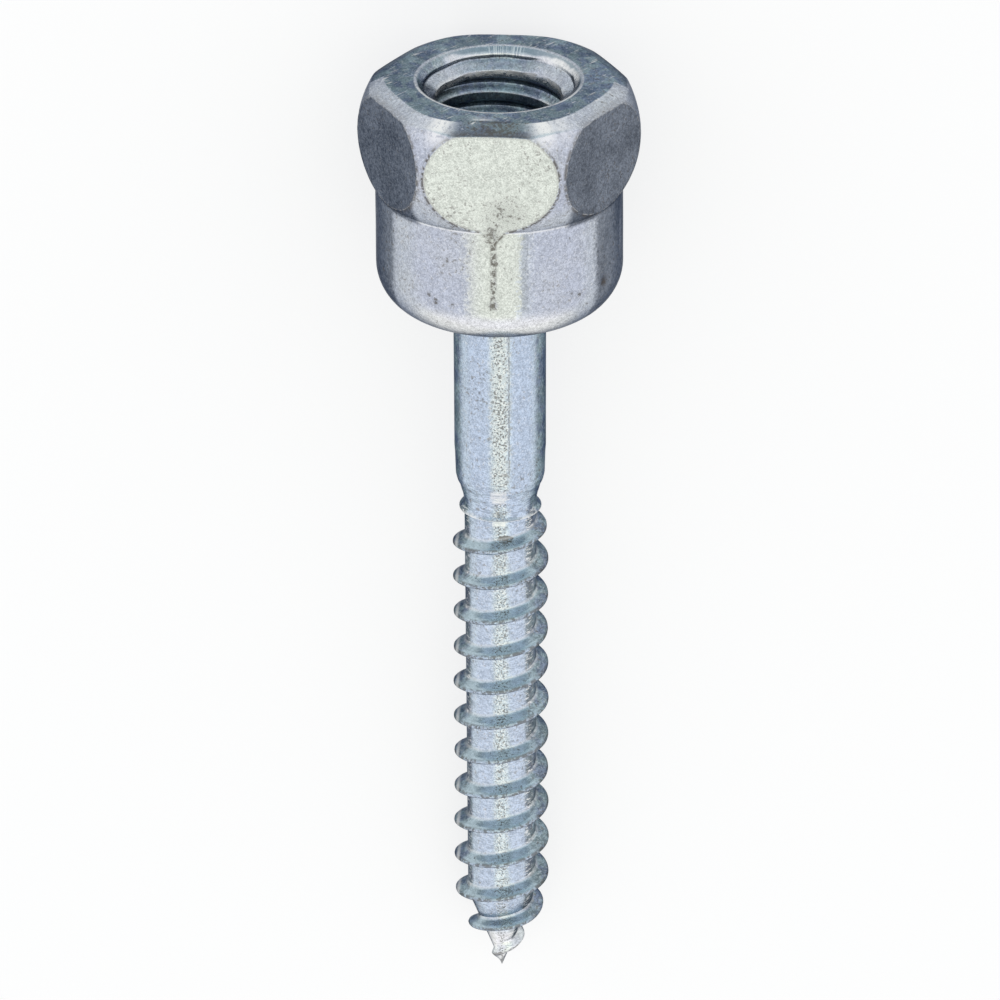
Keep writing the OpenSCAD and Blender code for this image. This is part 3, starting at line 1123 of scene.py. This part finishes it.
def grime_and_painted_line_map(w, at, pitted):
    """How grimy it is: in pits, beside creases, along the crests and where the mesh says so; also
    the painted dark reflection line beside the shank's strip.
    """
    dots = (at.spots + at.cloud.about_zero(0.45)).span(0.62, 0.78)
    patchy = at.fleck.span(0.42, 0.56)
    crease = abs(at.edge + 0.06).fall(0.0, 0.25) * patchy
    creased = at.front.span(0.8, 0.9, 0.6, 0.85) * at.depth.span(0.5, 1.0, 0.55, 1.0)
    crest = at.ridge.span(0.8, 0.98) * patchy
    stained = w.mark("stain")
    noisy = stained + at.fleck.about_zero(2.2) + at.grain.about_zero(1.4)
    stain = noisy.span(0.4, 0.85) * stained.span(0.05, 0.3)

    # the scab where the thread starts, and the grime pressed in beside it
    burr = w.scaled(w.vector("SUBTRACT", at.place, BURR_PLACE), (2.0, 1.0, 5.5))
    burr = w.vector("LENGTH", burr, output=1) + at.fleck.about_zero(2.2)
    burr = burr.span(1.1, 0.9) * at.grain.span(0.38, 0.46, 0.3, 1.0)
    pressed = at.side.between(-0.04, 0.12, 0.02) * at.depth.between(29.42, 29.82, 0.04)
    pressed = pressed * at.facing * at.grain.span(0.42, 0.5, 0.2, 0.6)

    # a painted dark reflection: the dark line beside the shank's painted highlight strip
    line = at.side.between(0.25, 0.27, 0.012) * at.facing
    line = line * (at.on_shank * at.fleck.span(0.36, 0.52, 0.1, 0.8))
    grime_and_painted_line = largest(dots * 0.5, crease * creased, burr * 0.85, pressed, crest * 0.7, pitted, line)
    return grime_and_painted_line.math("MAXIMUM", stain * 0.75, clamp=True)


def rub_map(w, at):
    """How much painted highlight there is: where marked, and along the flats' outlines and the
    crests.
    """
    outline = abs(at.edge - 0.03).fall(0.0, 0.05) * at.fleck.span(0.46, 0.6, 0.0, 0.4)
    marked = w.mark("rub") * at.fleck.span(0.36, 0.5, 0.35, 0.95)
    # lobe: painted highlights down the thread's left lobes
    lobe = at.across.between(-2.88, -2.68, 0.08) * at.ridge.span(0.2, 0.5, 0.0, 0.6)
    return largest(outline, marked, lobe * at.on_thread)


def add_scratches(w, at, finish, tone):
    """Scratches across the top face. Also returns how deep they are."""
    turned = {"Vector": at.place, "Axis": (0, 0, 1), "Angle": 0.7}
    turned = w.node("ShaderNodeVectorRotate", turned, rotation_type="AXIS_ANGLE")
    scratch = w.noise(w.scaled(turned, (3.0, 0.35, 0.4)), 0.5, 2.0, 0.5, 0.3)
    on_top = at.depth.fall(0.02, 0.12) * at.reach.span(5.2, 5.4)
    scratch = scratch.span(0.64, 0.69) * on_top
    return w.blend(scratch * 0.7, tone, finish.bright_wear_and_highlight), scratch


def add_countersink(w, at, finish, tone, slate):
    """The countersink's tones and its fine ticks, with painted reflections: teal high up, slate at
    its left, a painted glare lower down that is weaker at its back, and bright painted ticks at its
    back. Also returns how deep the ticks are.
    """
    ticks = w.noise(w.scaled(w.vector("NORMALIZE", at.level), (5.2,) * 3), 0.13, 1.5, 0.6)
    in_sink = at.reach.fall(5.1, 5.28) * at.depth.fall(0.55, 0.65)
    upper = at.depth + at.cloud.about_zero(0.9)
    at_back = at.side.between(-0.2, 0.24, 0.05) * at.front.span(0.0, -0.1)
    glare = at.fleck.span(0.4, 0.6, 0.55, 0.95) * at.side.span(-0.75, -0.6)
    glare = glare * upper.span(0.1, 0.3) * at_back.span(0.0, 1.0, 1.0, 0.4)
    tone = w.blend(upper.span(0.1, 0.3, 0.75, 0.0) * in_sink, tone, finish.teal_reflection)
    tone = w.blend(at.side.span(-0.7, -0.8, 0.0, 0.7) * in_sink, tone, slate)
    tone = w.blend(glare * in_sink, tone, finish.bright_wear_and_highlight)
    bright = ticks.span(0.5, 0.6) * (in_sink * at_back)
    return w.blend(bright * 0.8, tone, finish.bright_wear_and_highlight), ticks * at_back


def zinc_material(finish):
    """Zinc plating over forged steel: grain with a painted sheen, pits with grime, edges with
    painted highlights, scratches, and painted dark reflections.
    """
    material = bpy.data.materials.new("zinc_plating")
    w = Wiring(material)
    at = Surface(w)
    dullness = dullness_map(w, at)
    slate = dull_plate(w, at, finish)
    tone = w.blend(dullness, unshaded_plate(w, at, finish), slate)
    tone = add_core_side_reflections(w, at, finish, tone, slate)
    tone, pitted = add_highlight_strip(w, at, finish, tone)
    grime_and_painted_line = grime_and_painted_line_map(w, at, pitted)
    tone = w.blend(grime_and_painted_line, tone, finish.grime)
    tone = w.blend(rub_map(w, at), tone, finish.bright_wear_and_highlight)
    tone, scratch = add_scratches(w, at, finish, tone)
    tone, ticks = add_countersink(w, at, finish, tone, slate)

    shine = at.grain * 0.1 + grime_and_painted_line * 0.35 + dullness * 0.1
    drawn = w.noise(w.scaled(at.place, (1.0, 1.0, 0.08)), 0.12, 2.0, 0.6)
    height = at.grain * 0.4 + at.fleck * 0.6 - grime_and_painted_line * 0.8 + at.rings * at.turned * 1.1
    height = height + drawn * at.on_shank * 0.35 + ticks * 2.0 - scratch * 0.6
    bumps = {"Strength": 1.0, "Distance": BUMP_HEIGHT * MM, "Height": height}
    look = {
        "Metallic": 1.0,
        "Specular Tint": GRAZING_TINT,
        "Base Color": tone,
        "Roughness": shine.math("ADD", finish.gloss - 0.05, clamp=True),
        "Normal": w.node("ShaderNodeBump", bumps),
    }
    w.node("ShaderNodeOutputMaterial", {"Surface": w.node("ShaderNodeBsdfPrincipled", look)}, None)
    return material


def floor_material(studio):
    """A plain, matt floor that looks nearly white and keeps a soft shadow."""
    material = bpy.data.materials.new("studio_floor")
    w = Wiring(material)
    inputs = {"Base Color": studio.floor, "Roughness": 0.9, "Specular IOR Level": 0.0}
    matt = w.node("ShaderNodeBsdfPrincipled", inputs)
    white = w.node("ShaderNodeEmission", {"Color": (1, 1, 1), "Strength": 1.0})
    rays = ("Is Glossy Ray", "Is Transmission Ray", "Is Camera Ray")
    seen = largest(*(w.node("ShaderNodeLightPath", output=ray) for ray in rays))
    shader = w.node("ShaderNodeMixShader", {0: seen * studio.floor_glow, 1: matt, 2: white})
    w.node("ShaderNodeOutputMaterial", {"Surface": shader}, None)
    return material


# ---------------------------------------------------------------- studio


FLOOR_HALF = 4.0  # metres
LAMP_HALF_WIDTH = math.radians(26)  # how wide the strip lamp looks from the anchor
LAMP_LENGTH, LAMP_BACK = 2.4, 0.35  # its length, and how far it lies back, in its own heights
HEAD_WAY = (0, 0.97, 0.24)  # towards the room beyond the anchor's head
SENSOR, LENS = 36, 390.06  # the camera's, in millimetres
LENS_SHIFT = (-0.0005, 0.0316)  # shares of the picture's width
SEEN_FROM, SEEN_TO = 0.05, 20  # metres


def light_room(studio):
    """The room's own even light, dimmer beyond the anchor's head."""
    world = bpy.data.worlds.new("studio_room")
    bpy.context.scene.world = world
    w = Wiring(world)
    way = w.vector("NORMALIZE", w.node("ShaderNodeTexCoord"))
    head_end = w.vector("DOT_PRODUCT", way, HEAD_WAY, output=1).span(0.72, 0.9)
    tone = w.blend(head_end, studio.room, studio.shade)
    light = w.node("ShaderNodeBackground", {"Color": tone, "Strength": studio.room_level})
    w.node("ShaderNodeOutputWorld", {"Surface": light}, None)


def add_lamp(studio):
    """One long strip lamp over the anchor, in line with it."""
    height = studio.lamp_height
    data = bpy.data.lights.new("strip_lamp", "AREA")
    data.shape = "RECTANGLE"
    data.size = 2 * height * math.tan(LAMP_HALF_WIDTH)
    data.size_y = LAMP_LENGTH * height
    data.color = studio.lamp
    data.energy = studio.lamp_level * math.pi * data.size * data.size_y
    lamp = bpy.data.objects.new("strip_lamp", data)
    lamp.location = (0, -LAMP_BACK * height, height)
    lamp.visible_camera = False
    bpy.context.scene.collection.objects.link(lamp)


def add_camera(studio, placed):
    """A long lens over the anchor, leaning towards its head."""
    rise, swing = studio.rise, studio.swing
    away = Vector(
        (math.cos(rise) * math.sin(swing), -math.cos(rise) * math.cos(swing), math.sin(rise))
    )
    right = Vector((math.cos(swing), math.sin(swing), 0))
    up = away.cross(right)
    turned_right = right * math.cos(studio.roll) + up * math.sin(studio.roll)
    turned_up = up * math.cos(studio.roll) - right * math.sin(studio.roll)
    facing = Matrix((turned_right, turned_up, away)).transposed()
    data = bpy.data.cameras.new("studio_camera")
    data.sensor_width, data.lens = SENSOR, LENS
    data.shift_x, data.shift_y = LENS_SHIFT
    data.clip_start, data.clip_end = SEEN_FROM, SEEN_TO
    camera = bpy.data.objects.new("studio_camera", data)
    target = Vector((0, 0, -studio.middle))
    matrix = facing.to_4x4()
    matrix.translation = target + away * studio.distance
    camera.matrix_world = placed @ matrix
    bpy.context.scene.collection.objects.link(camera)
    bpy.context.scene.camera = camera


def add_floor(studio):
    """The floor that the anchor lies on."""
    low = CAD_BOX[0][2]
    signs = ((-1, -1), (1, -1), (1, 1), (-1, 1))
    corners = [(x * FLOOR_HALF, y * FLOOR_HALF, low) for x, y in signs]
    mesh = bpy.data.meshes.new("studio_floor")
    mesh.from_pydata(corners, [], [(0, 1, 2, 3)])
    mesh.materials.append(floor_material(studio))
    floor = bpy.data.objects.new("studio_floor", mesh)
    bpy.context.scene.collection.objects.link(floor)


# ---------------------------------------------------------------- add-on


class ROD_OT_build_anchor(Operator):
    """Build the rod anchor in one piece, with its threads and its plating"""

    bl_idname = "rod.build_anchor"
    bl_label = "Build Anchor"

    def execute(self, context):
        settings = context.scene.rod_anchor
        mesh = anchor_mesh(settings, laid_down())
        piece = bpy.data.objects.new("threaded_rod_anchor", mesh)
        piece.data.materials.append(zinc_material(settings.finish))
        context.scene.collection.objects.link(piece)
        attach(piece, "root")
        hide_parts("rod_anchor")
        return {"FINISHED"}


class ROD_OT_build_studio(Operator):
    """Set up the floor, the lights and the camera"""

    bl_idname = "rod.build_studio"
    bl_label = "Build Studio"

    def execute(self, context):
        studio = context.scene.rod_anchor.studio
        add_floor(studio)
        light_room(studio)
        add_lamp(studio)
        add_camera(studio, laid_down())
        context.scene.view_settings.view_transform = "Standard"
        return {"FINISHED"}


class ROD_PT_sidebar(Panel):
    """Sizes, finish and studio of the rod anchor"""

    bl_idname = "ROD_PT_sidebar"
    bl_label = "Rod Anchor"
    bl_space_type = "VIEW_3D"
    bl_region_type = "UI"
    bl_category = "Rod Anchor"

    def draw(self, context):
        layout = self.layout
        settings = context.scene.rod_anchor
        for name in ("head", "socket", "shank", "thread", "finish", "studio"):
            group = getattr(settings, name)
            box = layout.box()
            box.label(text=name.capitalize())
            for prop in own_properties(group):
                box.prop(group, prop.identifier)
        layout.operator(ROD_OT_build_anchor.bl_idname)
        layout.operator(ROD_OT_build_studio.bl_idname)


CLASSES = (
    HeadSizes,
    SocketSizes,
    ShankSizes,
    ThreadSizes,
    FinishSettings,
    StudioSettings,
    AnchorSettings,
    ROD_OT_build_anchor,
    ROD_OT_build_studio,
    ROD_PT_sidebar,
)


def register():
    for one in CLASSES:
        bpy.utils.register_class(one)
    bpy.types.Scene.rod_anchor = PointerProperty(
        type=AnchorSettings, name="Rod Anchor", description="The rod anchor and its studio"
    )


def unregister():
    del bpy.types.Scene.rod_anchor
    for one in reversed(CLASSES):
        bpy.utils.unregister_class(one)


def main():
    """Builds the anchor and its studio."""
    register()
    bpy.ops.rod.build_anchor()
    bpy.ops.rod.build_studio()


if __name__ == "__main__":
    main()
